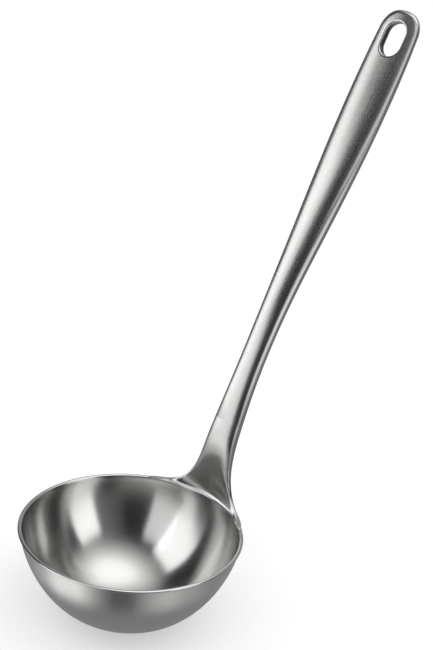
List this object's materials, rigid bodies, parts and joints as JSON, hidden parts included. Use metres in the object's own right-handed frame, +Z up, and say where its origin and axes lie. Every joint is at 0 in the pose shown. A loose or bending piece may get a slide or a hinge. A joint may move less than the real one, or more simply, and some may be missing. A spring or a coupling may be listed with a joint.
{
  "type": "soup ladle",
  "caption": "Soup ladle with a deep round bowl, a flared neck and a hollow leaning handle with an oblong hanging eye.",
  "frame": {"origin": "middle of the oblong hanging eye, halfway through the handle's thickness", "axes": "+Z up from the bowl to the tip, with the bowl's rim level; +X the way the handle leans, away from the bowl; +Y across the handle"},
  "size_m": [0.1852, 0.092, 0.2371],
  "materials": {
    "bowl_steel": "satin, brushed round the bowl",
    "neck_steel": "satin, brushed along the neck",
    "handle_steel": "satin, brushed along the handle",
    "weld_steel": "weld ground flush and brushed"
  },
  "bodies": {
    "root": {"bowl": "bowl_steel", "bowl_weld": "weld_steel", "neck": "neck_steel", "neck_weld": "weld_steel", "handle_front": "handle_steel", "handle_back": "handle_steel", "seam_weld": "weld_steel", "eye_sleeve": "handle_steel", "eye_welds": "weld_steel"}
  },
  "joints": []
}
